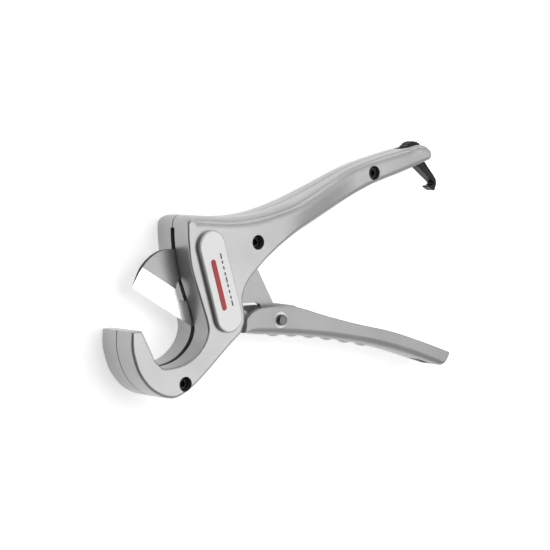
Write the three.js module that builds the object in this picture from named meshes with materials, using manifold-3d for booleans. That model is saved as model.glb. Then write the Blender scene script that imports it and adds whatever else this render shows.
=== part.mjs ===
import * as THREE from 'three';
import { mergeVertices } from 'three/addons/utils/BufferGeometryUtils.js';
import Module from 'manifold-3d';

// Pipe cutter with a clamshell body, a lever that swings a knife blade into a hooked jaw, and a latch.
// Millimetres. The tool lies on its back half: X along the handles, Z through its thickness.
const BODY_THICKNESS = 26;         // both halves together at the head
const MID = BODY_THICKNESS / 2;    // parting plane
const PARTING_GAP = 0.2;
const HANDLE_HALF = 8;             // half thickness of the upper handle at its end
const TAPER_FROM = -5, TAPER_TO = 45;
const PIPE_MAX = 35;               // largest pipe the jaw takes
const PIVOT = [-37, -20.5];        // lever pivot in the body
const BLADE_PIN = [-3.1, -21.8];   // blade to lever
const BLADE_THICKNESS = 2.4;
const LINK_RATIO = 0.16;           // blade turn on the lever per lever turn
const LEVER_OPEN = -16.5, LEVER_SHUT = 39;
const BLADE_SLOT = 3.2;            // width of the slot the blade runs in
const SLOT_END = [-56.1, -5.6];    // end of the guide slot in the blade
const BUSHING_R = 5.45, GUIDE_SLOT_R = 5.9;
const PIN_R = 3, BORE_CLEAR = 0.08;
const LEVER_Z = [3.8, 22.2], LEVER_WALL = 2.4;
const TONGUE_Z = [6.8, 19.2], TONGUE_R = 6.1;
const LATCH_PIVOT = [89.2, 61.6];
const LATCH_Z = [10.2, 15.8];
const SCREWS = [
  { name: '1', at: [-63.8, -50.5], head: 23.2, seat: 20.1, floor: 2.0, nut: 5.2 },
  { name: '2', at: [-21.2, 17.1], head: 23.2, seat: 20.1, floor: 2.0, nut: 5.2 },
  { name: '3', at: [57.5, 51.7], head: 19.4, seat: 16.6, floor: 6.3, nut: 8.9 },
];
const HEAD_R = 3.4, COUNTERBORE_R = 3.65, SHANK_R = 2;
const ORIGIN = [8.4, 5.65];         // middle of the outline, which becomes x = 0, y = 0

const wasm = await Module();
wasm.setup();

const solid = (geometry) => {
  let g = geometry.clone();
  for (const key of Object.keys(g.attributes)) if (key !== 'position') g.deleteAttribute(key);
  g = mergeVertices(g, 1e-4);
  return new wasm.Manifold(new wasm.Mesh({
    numProp: 3,
    vertProperties: new Float32Array(g.attributes.position.array),
    triVerts: new Uint32Array(g.index.array),
  }));
};
const sum = (...parts) => parts.flat().reduce((a, b) => a.add(b));
const cut = (a, ...parts) => parts.flat().reduce((m, b) => m.subtract(b), a);

const prism = (points, z0, z1) => {
  const shape = new THREE.Shape(points.map(([x, y]) => new THREE.Vector2(x, y)));
  return solid(new THREE.ExtrudeGeometry(shape, { depth: z1 - z0, bevelEnabled: false }).translate(0, 0, z0));
};
const rod = ([x, y], r, z0, z1, n = 32) =>
  solid(new THREE.CylinderGeometry(r, r, z1 - z0, n).rotateX(Math.PI / 2).translate(x, y, (z0 + z1) / 2));
const box = (x0, x1, y0, y1, z0, z1) =>
  solid(new THREE.BoxGeometry(x1 - x0, y1 - y0, z1 - z0).translate((x0 + x1) / 2, (y0 + y1) / 2, (z0 + z1) / 2));
const turned = ([x, y], profile, n = 32) =>
  solid(new THREE.LatheGeometry(profile.map(([r, z]) => new THREE.Vector2(r, z)), n).rotateX(Math.PI / 2).translate(x, y, 0));
const ring = (at, rIn, rOut, z0, z1, n = 32) => cut(rod(at, rOut, z0, z1, n), rod(at, rIn, z0 - 1, z1 + 1, n));

const rad = Math.PI / 180;
const turn = ([x, y], [cx, cy], deg) => {
  const c = Math.cos(deg * rad), s = Math.sin(deg * rad);
  return [cx + (x - cx) * c - (y - cy) * s, cy + (x - cx) * s + (y - cy) * c];
};
// a blade point when the lever has turned by deg, and a body point as the blade sees it
const bladeAt = (p, deg) => turn(turn(p, PIVOT, deg), turn(BLADE_PIN, PIVOT, deg), LINK_RATIO * deg);
const seenByBlade = (p, deg) => turn(turn(p, turn(BLADE_PIN, PIVOT, deg), -LINK_RATIO * deg), PIVOT, -deg);

// Closed outline through control points [x, y, edge radius, kind]. 'c' is a sharp corner, a number is a station of the handle.
const smooth = (control, steps) => {
  const n = control.length, out = [];
  for (let i = 0; i < n; i++) {
    const p1 = control[i], p2 = control[(i + 1) % n];
    const p0 = p1[3] === 'c' ? p1 : control[(i - 1 + n) % n], p3 = p2[3] === 'c' ? p2 : control[(i + 2) % n];
    const len = Math.hypot(p2[0] - p1[0], p2[1] - p1[1]);
    const corners = (p1[3] === 'c') + (p2[3] === 'c');
    const m = len < 4 || corners === 2 || (corners && len < 8) ? 1 : len > 24 ? steps + 2 : steps;
    for (let k = 0; k < m; k++) {
      const t = k / m, t2 = t * t, t3 = t2 * t;
      const at = (j) => 0.5 * (2 * p1[j] + (p2[j] - p0[j]) * t + (2 * p0[j] - 5 * p1[j] + 4 * p2[j] - p3[j]) * t2 + (3 * p1[j] - p0[j] - 3 * p2[j] + p3[j]) * t3);
      out.push([at(0), at(1), p1[2] + (p2[2] - p1[2]) * t, k ? undefined : p1[3]]);
    }
  }
  return out;
};
const inset = (points, amount) => points.map((p, i) => {
  const n = points.length, a = points[(i - 1 + n) % n], b = points[(i + 1) % n];
  const u = [p[0] - a[0], p[1] - a[1]], v = [b[0] - p[0], b[1] - p[1]];
  const lu = Math.hypot(...u), lv = Math.hypot(...v);
  const nu = [-u[1] / lu, u[0] / lu], nv = [-v[1] / lv, v[0] / lv];
  const m = [nu[0] + nv[0], nu[1] + nv[1]], l = Math.hypot(...m);
  const k = Math.min(1 / Math.max((m[0] * nu[0] + m[1] * nu[1]) / l, 0.5), 1.6);
  return [p[0] + m[0] / l * k * amount(p), p[1] + m[1] / l * k * amount(p)];
});
const half = (x) => {
  const t = Math.min(Math.max((x - TAPER_FROM) / (TAPER_TO - TAPER_FROM), 0), 1);
  return MID + (HANDLE_HALF - MID) * t * t * (3 - 2 * t);
};
// Prism with rounded edges, top and bottom. flare scales its thickness about the parting plane.
const rounded = (outline, z0, z1, levels, flare) => {
  const verts = [], tris = [], n = outline.length;
  const ringAt = (deg, top) => {
    const pts = inset(outline, (p) => p[2] * (1 - Math.cos(deg * rad)));
    const from = verts.length;
    pts.forEach(([x, y], i) => {
      const drop = outline[i][2] * (1 - Math.sin(deg * rad));
      let z = top ? z1 - drop : z0 + drop;
      if (flare) z = MID + (z - MID) * half(outline[i][0]) / MID;
      verts.push([x, y, z]);
    });
    return from;
  };
  const rings = [];
  for (let k = levels; k >= 0; k--) rings.push(ringAt(90 * k / levels, false));
  for (let k = 0; k <= levels; k++) rings.push(ringAt(90 * k / levels, true));
  for (let r = 0; r + 1 < rings.length; r++) for (let i = 0; i < n; i++) {
    const j = (i + 1) % n, a = rings[r], b = rings[r + 1];
    tris.push([a + i, a + j, b + j], [a + i, b + j, b + i]);
  }
  const stations = new Map();
  outline.forEach((p, i) => { if (typeof p[3] === 'number') stations.set(p[3], [...(stations.get(p[3]) ?? []), i]); });
  const keys = [...stations.keys()].sort((a, b) => a - b);
  const loops = [];
  const walk = (a, b) => { const l = []; for (let i = a; ; i = (i + 1) % n) { l.push(i); if (i === b) return l; } };
  if (!keys.length) loops.push(walk(0, n - 1));
  keys.forEach((key, k) => {
    const [low, high] = stations.get(key);
    if (k === 0) loops.push(walk(high, low));
    if (k + 1 < keys.length) { const [l2, h2] = stations.get(keys[k + 1]); loops.push([...walk(low, l2), ...walk(h2, high)]); }
    else loops.push(walk(low, high));
  });
  for (const loop of loops) for (const base of [rings[0], rings[rings.length - 1]]) {
    const faces = THREE.ShapeUtils.triangulateShape(loop.map((i) => new THREE.Vector2(verts[base + i][0], verts[base + i][1])), []);
    for (const [a, b, c] of faces) {
      const t = [base + loop[a], base + loop[b], base + loop[c]];
      const area = (verts[t[1]][0] - verts[t[0]][0]) * (verts[t[2]][1] - verts[t[0]][1]) - (verts[t[2]][0] - verts[t[0]][0]) * (verts[t[1]][1] - verts[t[0]][1]);
      const up = base !== rings[0];
      tris.push(area > 0 === up ? t : [t[0], t[2], t[1]]);
    }
  }
  const g = new THREE.BufferGeometry();
  g.setAttribute('position', new THREE.BufferAttribute(new Float32Array(verts.flat()), 3));
  g.setIndex(tris.flat());
  return solid(g);
};
const wire = (points, r, sides = 8, closed = false) => {
  const path = new THREE.CatmullRomCurve3(points.map((p) => new THREE.Vector3(...p)), closed, 'centripetal');
  const c = new THREE.Shape();
  for (let i = 0; i < sides; i++) {
    const a = 2 * Math.PI * i / sides;
    i ? c.lineTo(r * Math.cos(a), r * Math.sin(a)) : c.moveTo(r, 0);
  }
  return new THREE.ExtrudeGeometry(c, { steps: (points.length - 1) * 2, extrudePath: path, bevelEnabled: false });
};

// ---- body outline: jaw, neck and upper handle in one
const E = 1.7, TOP = 6.5, UNDER = 3.2, GRIP = 5.2;
const BODY = [
  [-95.2, -24.4, E, 'c'], [-95.4, -30, E], [-94.6, -35.5, E], [-91.6, -43.4, E], [-87.3, -49.2, E], [-82.7, -53.2, E],
  [-77.0, -56.0, E], [-72.7, -57.0, E], [-68.2, -56.9, E], [-61.3, -53.8, E], [-52.8, -47.4, E], [-42.7, -38.2, E],
  [-35.5, -31.6, E], [-30.3, -27.3, E, 'c'], [-28.3, -22.5, E], [-28.2, -17.5, E], [-29.5, -11.8, E], [-29.3, -8.6, E],
  [-27.5, -4.0, E], [-24.4, 0.2, E], [-17.1, 7.2, E], [-12.3, 11.0, 1.9, 1], [-4.6, 16.4, 2.2, 2], [5.8, 22.1, UNDER, 3],
  [16.5, 27.1, UNDER, 4], [27.2, 32.1, UNDER, 5], [36.5, 36.6, UNDER, 6], [47.9, 42.0, UNDER, 7], [59.3, 46.6, UNDER, 8],
  [73.5, 51.1, UNDER, 9], [85.3, 55.0, UNDER, 10], [93.2, 57.9, 2.8, 11], [96.6, 59.3, 2.2], [97.5, 61.4, 2.0],
  [96.5, 63.8, 2.0], [94.0, 65.8, 2.6], [89.6, 66.5, 3.8, 11], [82.8, 64.9, GRIP, 10], [70.2, 61.9, GRIP, 9],
  [55.8, 58.0, GRIP, 8], [43.2, 53.8, GRIP, 7], [31.0, 48.4, GRIP, 6], [20.4, 43.7, 5.6, 5], [8.6, 38.7, 6, 4],
  [-2.6, 34.8, TOP, 3], [-14.0, 31.8, TOP, 2], [-24.0, 30.2, TOP, 1], [-34.6, 29.5, TOP], [-47.0, 29.8, TOP],
  [-58.2, 30.3, TOP], [-61.6, 29.7, 4.5], [-63.4, 27.6, 2], [-63.7, 24.6, 1], [-63.2, 16.7, 1],
  [-61.2, 5.0, 1], [-55.9, -9.1, 1], [-51.0, -22.1, 1], [-51.0, -27.9, 1], [-53.9, -33.7, 1], [-60.3, -39.2, 1],
  [-68.7, -42.1, 1], [-77.2, -42.3, 1], [-81.5, -38.6, 1, 'c'], [-89.6, -24.1, 1, 'c'],
];
const bodyOutline = smooth(BODY, 2);
const outer = rounded(bodyOutline, 0, BODY_THICKNESS, 4, true);

// guide post: where the end of the blade slot lies with the lever fully open
const POST = bladeAt(SLOT_END, LEVER_OPEN - 0.6);

const headCavity = prism([
  [-60.2, 25.2], [-60.0, 16.3], [-58.2, 5.6], [-52.8, -9.0], [-47.9, -21.4], [-47.9, -27.2], [-44.6, -33.2], [-34.5, -27.7],
  [-33.6, -32.5], [-24.0, -32.5], [-22.0, -4.6], [-29.6, -3.2], [-26.9, 2.2], [-19.0, 9.8], [-11.0, 15.4],
  [-2.6, 20.6], [-2.6, 29.6], [-14.6, 26.6], [-24.5, 25.4], [-34.6, 24.8],
], 3.2, 22.8);
const handleCavity = rounded(smooth([
  [-3.0, 21.4, 2, 1], [6.2, 26.0, 2, 2], [16.8, 30.8, 2, 3], [27.6, 35.8, 2, 4], [37.0, 40.3, 2, 5], [47.0, 45.2, 2], [49.4, 46.2, 2], [48.6, 50.8, 2],
  [45.8, 51.2, 2], [33.0, 45.6, 2, 5], [22.0, 40.8, 2, 4], [10.6, 36.0, 2, 3], [-0.2, 31.6, 2, 2], [-4.0, 29.4, 2, 1],
], 1), 3.6, 22.4, 2, true);
const tailCavity = prism([[67.5, 53.2], [78.0, 56.6], [82.0, 57.8], [80.6, 61.4], [76.4, 60.2], [66.4, 57.4]], 7.2, 18.8);
const slotZ = [MID - BLADE_SLOT / 2, MID + BLADE_SLOT / 2];
const bladeSlot = prism([
  [-72, 23.6], [-72, -8], [-78, -16], [-88.0, -25.4], [-90.2, -28.0], [-90.4, -33], [-89.4, -38.5], [-86.8, -44.5],
  [-84.2, -48.4], [-80.8, -50.2], [-70, -46.8], [-61, -44.2], [-50, -41.9], [-45.2, -38.2], [-40.0, -33.8], [-34.5, -27.7],
  [-24, -24.5], [-16, -6], [-6, 6], [2, 14], [4.4, 19.6], [2, 24.6], [-8, 23.6], [-22, 23.6],
], slotZ[0], slotZ[1]);
const latchSlot = prism([
  [78.4, 70], [81.2, 61.6], [81.6, 57.4], [80.0, 48], [104, 48], [104, 72],
], LATCH_Z[0] - 0.4, LATCH_Z[1] + 0.4);

const latchSpringRoom = prism([[-4.6, -3.1], [4.6, -3.1], [4.6, 3.1], [-4.6, 3.1]].map(([x, y]) => turn([LATCH_PIVOT[0] + x, LATCH_PIVOT[1] + y], LATCH_PIVOT, 15)), LATCH_Z[1], 18.4);
const bosses = [
  rod(POST, 5.0, 0.5, 25.5), rod(PIVOT, 4.5, 0.5, 5.6), rod(PIVOT, 4.5, 19.5, 25.5), rod(SCREWS[1].at, 4.3, 0.5, 25.5),
];
const cavity = sum(cut(sum(headCavity, handleCavity, tailCavity), ...bosses), cut(bladeSlot, rod(SCREWS[1].at, 4.3, 0, 26)), latchSlot, latchSpringRoom);
const postBores = [rod(POST, PIN_R + BORE_CLEAR, 2.0, 24.0), rod(PIVOT, PIN_R + BORE_CLEAR, 2.0, 24.0), rod(LATCH_PIVOT, 1.83, 7.4, 18.6, 24)];
const DOWELS = [[-92.4, -31.6], [66.0, 54.6]];
const dowelBores = DOWELS.map((at) => rod(at, 1.31, MID - 3.6, MID + 3.6, 20));
const bushingPocket = rod(POST, BUSHING_R + 0.6, slotZ[0], slotZ[1], 40);

const shell = cut(outer, cavity, ...postBores, ...dowelBores, bushingPocket);
const hexagon = ([x, y], r, z0, z1) => rod([x, y], r, z0, z1, 6);
const screwHoles = SCREWS.map((s) => sum(
  rod(s.at, COUNTERBORE_R, s.seat, 40), rod(s.at, SHANK_R + 0.25, -10, 40, 24), hexagon(s.at, 4.35, -10, s.nut + 0.1)));
const bodySolid = cut(shell, ...screwHoles);

// raised pad for the label, on the front half only
const stadium = (a, b, r, n = 12) => {
  const t = Math.atan2(b[1] - a[1], b[0] - a[0]), out = [];
  for (let i = 0; i <= n; i++) out.push([b[0] + r * Math.cos(t - Math.PI / 2 + Math.PI * i / n), b[1] + r * Math.sin(t - Math.PI / 2 + Math.PI * i / n)]);
  for (let i = 0; i <= n; i++) out.push([a[0] + r * Math.cos(t + Math.PI / 2 + Math.PI * i / n), a[1] + r * Math.sin(t + Math.PI / 2 + Math.PI * i / n)]);
  return out;
};
const LABEL_ENDS = [[-50.6, 15.4], [-39.6, -18.6]];
const padOutline = stadium(LABEL_ENDS[0], LABEL_ENDS[1], 7.9).map(([x, y]) => [x, y, 0.6]);
const pad = rounded(padOutline, 24.5, 28, 2, false);
const frontHalf = sum(bodySolid.intersect(box(-200, 200, -200, 200, MID + PARTING_GAP / 2, 60)), pad);
const backHalf = bodySolid.intersect(box(-200, 200, -200, 200, -20, MID - PARTING_GAP / 2));
const labelPlate = prism(stadium(LABEL_ENDS[0], LABEL_ENDS[1], 7.2), 28.05, 28.4);

// ---- blade
const bladeOutline = smooth([
  [-87.0, -4.3, 0, 'c'], [-83.6, 2.4, 0], [-79.5, 7.7, 0], [-73.8, 11.8, 0], [-68.6, 13.4, 0], [-60, 13.9, 0], [-50, 14.2, 0],
  [-38, 13.5, 0], [-28, 12.7, 0], [-19.0, 10.3, 0], [-15.6, 8.6, 0, 'c'], [-11.6, 2.5, 0, 'c'], [-1.8, -13.8, 0, 'c'], [8.5, -15.0, 0],
  [12.8, -15.9, 0], [13.8, -17.8, 0], [12.4, -20.2, 0], [5, -23.6, 0], [-0.6, -25.9, 0], [-5.4, -25.9, 0], [-8.4, -23.2, 0],
  [-9.2, -18.0, 0], [-10.2, -14.2, 0], [-12.4, -13.4, 0, 'c'], [-22, -13.4, 0, 'c'], [-28, -12.2, 0], [-33, -10.9, 0], [-37.5, -10.6, 0],
  [-41.8, -12.6, 0], [-43.6, -16.6, 0], [-44.4, -19.6, 0], [-47.4, -21.8, 0], [-50.6, -24.2, 0, 'c'], [-51.3, -24.1, 0, 'c'],
], 2);
const guidePath = [];
for (let d = LEVER_OPEN - 0.6; d < LEVER_SHUT + 0.4; d += 3) guidePath.push(seenByBlade(POST, d));
guidePath.push(seenByBlade(POST, LEVER_SHUT + 1.4));
const side = (k, s) => {
  const a = guidePath[Math.max(k - 1, 0)], b = guidePath[Math.min(k + 1, guidePath.length - 1)];
  const l = Math.hypot(b[0] - a[0], b[1] - a[1]);
  return [guidePath[k][0] - s * (b[1] - a[1]) / l * GUIDE_SLOT_R, guidePath[k][1] + s * (b[0] - a[0]) / l * GUIDE_SLOT_R];
};
const bladeZ = [MID - BLADE_THICKNESS / 2, MID + BLADE_THICKNESS / 2];
const guideSlot = sum(
  prism([...guidePath.map((_, k) => side(k, -1)), ...guidePath.map((_, k) => side(k, 1)).reverse()], bladeZ[0] - 1, bladeZ[1] + 1),
  rod(guidePath[0], GUIDE_SLOT_R, bladeZ[0] - 1, bladeZ[1] + 1, 40),
  rod(guidePath[guidePath.length - 1], GUIDE_SLOT_R, bladeZ[0] - 1, bladeZ[1] + 1, 40));
// ground bevels, one on each side of the cutting edge
const bevelSide = (s) => {
  const tip = new THREE.Vector3(-87.4, -4.5, MID), heel = new THREE.Vector3(-47.2, -26.6, MID);
  const along = heel.clone().sub(tip).normalize(), inward = new THREE.Vector3(-along.y, along.x, 0);
  const width = 11.2, lift = BLADE_THICKNESS / 2 - 0.04;
  const section = (p) => [
    p.clone().addScaledVector(inward, -3).setZ(MID + s * (0.04 - 3 * lift / width)), p.clone().addScaledVector(inward, width).setZ(MID + s * (0.04 + lift)),
    p.clone().addScaledVector(inward, width).setZ(MID + s * 4), p.clone().addScaledVector(inward, -3).setZ(MID + s * 4),
  ];
  const ends = [section(tip.clone().addScaledVector(along, -20)), section(heel.clone().addScaledVector(along, 20))];
  const v = ends.flat(), quads = [[0, 1, 5, 4], [1, 2, 6, 5], [2, 3, 7, 6], [3, 0, 4, 7], [3, 2, 1, 0], [4, 5, 6, 7]];
  const idx = quads.flatMap(([a, b, c, d]) => [a, b, c, a, c, d]);
  const g = new THREE.BufferGeometry();
  g.setAttribute('position', new THREE.BufferAttribute(new Float32Array(v.flatMap((p) => [p.x, p.y, p.z])), 3));
  g.setIndex(s > 0 ? idx : idx.slice().reverse());
  return solid(g);
};
let blade = cut(prism(bladeOutline, bladeZ[0], bladeZ[1]), guideSlot, rod(BLADE_PIN, 2.58, 5, 20));
const wedge = [bevelSide(1), bevelSide(-1)];
// the heel of the edge stays full thickness where the plate turns up round the pivot
const bevelZone = prism([[-95, -10], [-60, -34], [-46.9, -30], [-46.9, -18], [-60, -4], [-76, 12], [-95, 12]], 5, 20);
blade = cut(blade, ...wedge.map((w) => w.intersect(bevelZone)));

// ---- lower handle
const LEVER = [
  [-24.4, -21.0, 0.6], [-24.5, -24.4, 0.6], [-25.6, -27.6, 1.2, 'c'], [-16, -28.7, 4], [-6.3, -29.2, 4.2], [5, -29.9, 4.2], [17, -30.9, 4.2], [30, -32.4, 4.2],
  [42, -34.1, 4.2], [54, -36.0, 4.2], [66, -38.4, 4.2], [81.3, -42.1, 4.0], [96.4, -46.4, 3.6], [105.4, -49.0, 3.0], [108.0, -49.2, 2.4], [110.2, -47.6, 1.8],
  [112.2, -43.6, 1.0], [111.8, -42.4, 0.7], [109.0, -41.5, 0.6], [100.5, -38.7, 0.6], [84.1, -33.7, 0.6], [68.1, -29.5, 0.6], [47.2, -25.4, 0.6],
  [26.5, -20.6, 0.6], [12.0, -16.7, 0.6], [4.0, -15.4, 0.6], [-7.8, -15.2, 0.6], [-15.4, -15.8, 0.6], [-20.6, -17.6, 0.6],
];
const leverOutline = smooth(LEVER, 2);
const grip = [-1, 10.8, 22.6, 34.4, 46.2, 58].map((x, i) => {
  const y = -28.75 - [0.95, 1.6, 2.75, 4.2, 6.0, 8.0][i] + 3.4;
  return solid(new THREE.SphereGeometry(1, 16, 8).scale(4.4, 4.4, 6.6).translate(x, y, MID));
});
const tongueAngle = [112, 140, 170, 200, 230, 260];
const tongue = prism([
  [-22, -17.4], [-27, -15.2], ...tongueAngle.map((a) => [PIVOT[0] + TONGUE_R * Math.cos(a * rad), PIVOT[1] + TONGUE_R * Math.sin(a * rad)]),
  [-33.8, -25.8], [-29.4, -25.2], [-22, -26.6],
], TONGUE_Z[0], TONGUE_Z[1]);
const floorLine = LEVER.slice(2, 16).map(([x, y]) => [x, y + LEVER_WALL + 0.2]);
const channel = prism([
  [-60, -5], [-60, -32.0], [-42, -30], [-31.6, -24.4], [-29.5, -23.9], [-22.2, -25.2], ...floorLine.slice(1, -1), [116, -46.6], [116, -10],
], LEVER_Z[0] + LEVER_WALL, LEVER_Z[1] - LEVER_WALL);
const tongueRoom = TONGUE_Z[0] + LEVER_WALL;
const narrow = prism([
  [-60, -5], [-60, -34.0], [-42, -30], [-31.6, -24.4], [-29.5, -23.9], [-22.2, -25.2], [-16, -25.6], [-16, -10],
], tongueRoom, BODY_THICKNESS - tongueRoom);
const wide = channel.intersect(box(-21.8, 120, -60, 0, 0, 30));
const catchSlot = prism([[93.0, -50], [103.2, -53], [106.0, -42], [95.6, -40]], LATCH_Z[0] - 0.9, LATCH_Z[1] + 0.9);
let lever = sum(rounded(leverOutline, LEVER_Z[0], LEVER_Z[1], 3, false), ...grip, tongue);
lever = cut(lever, wide, narrow, catchSlot, rod(PIVOT, PIN_R + BORE_CLEAR, 0, 30), rod(BLADE_PIN, 2.56, 0, 30),
  rod([-27.6, -18.6], 0.9, 16, 25, 16));

// ---- latch
const L = LATCH_PIVOT;
const knurl = [];
for (let i = 0; i <= 36; i++) {
  const a = (-14 + i * 8) * rad, tooth = i > 1 && i < 27 && i % 2 ? 0.4 : 0;
  knurl.push([(6.5 + tooth) * Math.cos(a), (6.5 + tooth) * Math.sin(a)]);
}
const latchOutline = [
  ...knurl, [3.0, -6.3], [14.4, -14.4], [14.7, -15.1], [13.6, -15.9], [11.2, -16.4], [11.6, -17.2], [14.5, -18.7], [15.2, -18.6],
  [16.3, -15.4], [16.0, -13.0], [14.2, -10.7], [10.8, -7.2], [7.9, -4.0],
].map(([x, y]) => [L[0] + x, L[1] + y]);
const latch = cut(prism(latchOutline, LATCH_Z[0], LATCH_Z[1]), rod(L, 1.84, 0, 30, 24));

// ---- pins, screws and springs
const pin = (at, r, z0, z1, chamfer = 0.4, n = 32) =>
  turned(at, [[0, z0], [r - chamfer, z0], [r, z0 + chamfer], [r, z1 - chamfer], [r - chamfer, z1], [0, z1]], n);
const screwOf = (s) => {
  const body = turned(s.at, [[0, s.floor + 0.3], [SHANK_R - 0.4, s.floor + 0.3], [SHANK_R, s.floor + 0.8], [SHANK_R, s.seat + 0.05],
    [HEAD_R, s.seat + 0.05], [HEAD_R, s.head - 0.6], [HEAD_R - 0.6, s.head], [0, s.head]], 32);
  const star = [];
  for (let i = 0; i < 24; i++) {
    const a = i * 15 * rad, r = 1.55 + 0.3 * Math.cos(6 * a);
    star.push([s.at[0] + r * Math.cos(a), s.at[1] + r * Math.sin(a)]);
  }
  return cut(body, prism(star, s.head - 1.9, s.head + 1));
};
const nutOf = (s) => cut(hexagon(s.at, 4.0, s.floor, s.nut), rod(s.at, SHANK_R + 0.12, -1, 30, 32));
const coil = ([cx, cy], r, turns, z0, pitch, per = 14) => {
  const out = [], n = Math.round(turns * per);
  for (let i = 0; i <= n; i++) out.push([cx + r * Math.cos(2 * Math.PI * i / per), cy + r * Math.sin(2 * Math.PI * i / per), z0 + pitch * i / per]);
  return out;
};
const springPoints = (() => {
  const c = coil(PIVOT, 5.35, 2.25, 19.85, 1.05);
  const first = c[0], last = c[c.length - 1];
  return [[first[0] + 4.0, first[1] + 1.9, 17.6], [first[0] + 4.0, first[1] + 1.9, 19.3], [first[0] + 3.0, first[1] + 1.0, 19.9], ...c,
    [last[0] - 4.5, last[1] + 0.9, last[2]], [last[0] - 7.5, last[1] + 2.4, last[2]]];
})();
const latchSpringPoints = (() => {
  const c = coil(L, 2.4, 1.5, 16.45, 0.75);
  return [[c[0][0] + 0.9, c[0][1] - 0.9, 16.45], ...c, [c[c.length - 1][0] - 0.9, c[c.length - 1][1] - 0.9, 17.57]];
})();

const group = new THREE.Group();
const steel = { color: 0xb4b6b8, metalness: 0.9, roughness: 0.35 };
const black = { color: 0x26272a, metalness: 0.6, roughness: 0.45 };
const alloy = { color: 0xc2c3c4, metalness: 0.7, roughness: 0.5 };
const put = (name, shape, look) => {
  let g;
  if (shape.getMesh) {
    const m = shape.getMesh();
    g = new THREE.BufferGeometry();
    const p = new Float32Array(m.numVert * 3);
    for (let i = 0; i < m.numVert; i++) for (let k = 0; k < 3; k++) p[3 * i + k] = m.vertProperties[m.numProp * i + k];
    g.setAttribute('position', new THREE.BufferAttribute(p, 3));
    g.setIndex(new THREE.BufferAttribute(new Uint32Array(m.triVerts), 1));
  } else g = shape;
  g.translate(-ORIGIN[0], -ORIGIN[1], 0);
  g.computeVertexNormals();
  const mesh = new THREE.Mesh(g, new THREE.MeshStandardMaterial(look));
  mesh.name = name;
  group.add(mesh);
};
put('body_half_front', frontHalf, alloy);
put('body_half_back', backHalf, alloy);
put('blade', blade, steel);
put('lower_handle', lever, alloy);
put('lever_pivot_pin', pin(PIVOT, PIN_R, 2.3, 23.7), steel);
put('pivot_sleeve', ring(PIVOT, PIN_R + BORE_CLEAR, 4.2, 9.5, 16.5), steel);
put('thrust_washer', ring(PIVOT, PIN_R + BORE_CLEAR, 4.9, 5.75, 6.65), steel);
put('opening_spring', wire(springPoints, 0.45), black);
put('blade_pin', turned(BLADE_PIN, [[0, 2.0], [2.1, 2.0], [2.5, 2.4], [2.5, 22.3], [2.75, 22.3], [2.75, 24.0], [2.3, 24.4], [0, 24.4]]), steel);
put('blade_pin_clip', ring(BLADE_PIN, 2.56, 4.2, 2.7, 3.65), black);
put('blade_spacer_front', ring(BLADE_PIN, 2.58, 4.3, 14.35, 19.65), steel);
put('blade_spacer_back', ring(BLADE_PIN, 2.58, 4.3, 6.35, 11.65), steel);
put('guide_pin', pin(POST, PIN_R, 2.3, 23.7), steel);
put('guide_bushing', ring(POST, PIN_R + BORE_CLEAR, BUSHING_R, 11.65, 14.35, 40), steel);
for (const s of SCREWS) put(`body_screw_${s.name}`, screwOf(s), black);
for (const s of SCREWS) put(`body_nut_${s.name}`, nutOf(s), black);
put('latch_hook', latch, black);
put('latch_pin', pin(L, 1.75, 7.7, 18.3, 0.3, 24), steel);
put('latch_spring', wire(latchSpringPoints, 0.3), steel);
DOWELS.forEach((at, i) => put(`dowel_pin_${i + 1}`, pin(at, 1.25, MID - 3.3, MID + 3.3, 0.3, 20), steel));
put('label_plate', labelPlate, { color: 0xf2f2ee, metalness: 0.1, roughness: 0.4 });

export default group;
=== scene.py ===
import math

import bmesh
import bpy
from mathutils import Matrix, Vector


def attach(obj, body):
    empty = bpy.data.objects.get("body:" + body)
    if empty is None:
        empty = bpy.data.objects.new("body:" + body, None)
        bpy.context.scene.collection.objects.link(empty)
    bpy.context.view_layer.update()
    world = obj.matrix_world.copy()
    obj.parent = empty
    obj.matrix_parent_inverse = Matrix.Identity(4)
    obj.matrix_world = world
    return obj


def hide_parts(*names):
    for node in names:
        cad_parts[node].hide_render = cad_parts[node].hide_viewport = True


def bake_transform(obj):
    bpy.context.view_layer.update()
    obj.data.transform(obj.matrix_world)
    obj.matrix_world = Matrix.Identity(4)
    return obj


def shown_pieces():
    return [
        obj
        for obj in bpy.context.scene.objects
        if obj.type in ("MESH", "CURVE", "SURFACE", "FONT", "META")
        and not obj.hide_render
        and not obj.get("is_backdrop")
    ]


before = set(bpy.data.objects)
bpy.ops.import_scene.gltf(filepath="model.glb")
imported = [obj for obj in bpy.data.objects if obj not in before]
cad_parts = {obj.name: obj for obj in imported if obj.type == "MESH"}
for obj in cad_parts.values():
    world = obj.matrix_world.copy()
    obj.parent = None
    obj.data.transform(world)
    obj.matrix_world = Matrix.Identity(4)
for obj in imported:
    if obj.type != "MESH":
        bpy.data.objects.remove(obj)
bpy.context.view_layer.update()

# ---- sizes in millimetres, in the drawing's own coordinates; ORIGIN takes them to the row frame
ORIGIN = (8.4, 5.65)
MID, THICK, GAP = 13.0, 26.0, 0.2
PIVOT, BLADE_PIN, LATCH = (-37.0, -20.5), (-3.1, -21.8), (89.2, 61.6)
RATIO, OPEN, SHUT = 0.16, -16.5, 39.0
E, TOP, UNDER, GRIP = 1.7, 6.5, 3.2, 5.2
PIN_R, CLEAR = 3.0, 0.08
R = math.pi / 180
STEPS = 7
LEVELS = 9


def turn(p, c, deg):
    k, s = math.cos(deg * R), math.sin(deg * R)
    return (c[0] + (p[0] - c[0]) * k - (p[1] - c[1]) * s, c[1] + (p[0] - c[0]) * s + (p[1] - c[1]) * k)


def blade_at(p, d):
    return turn(turn(p, PIVOT, d), turn(BLADE_PIN, PIVOT, d), RATIO * d)


def seen_by_blade(p, d):
    return turn(turn(p, turn(BLADE_PIN, PIVOT, d), -RATIO * d), PIVOT, -d)


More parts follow.
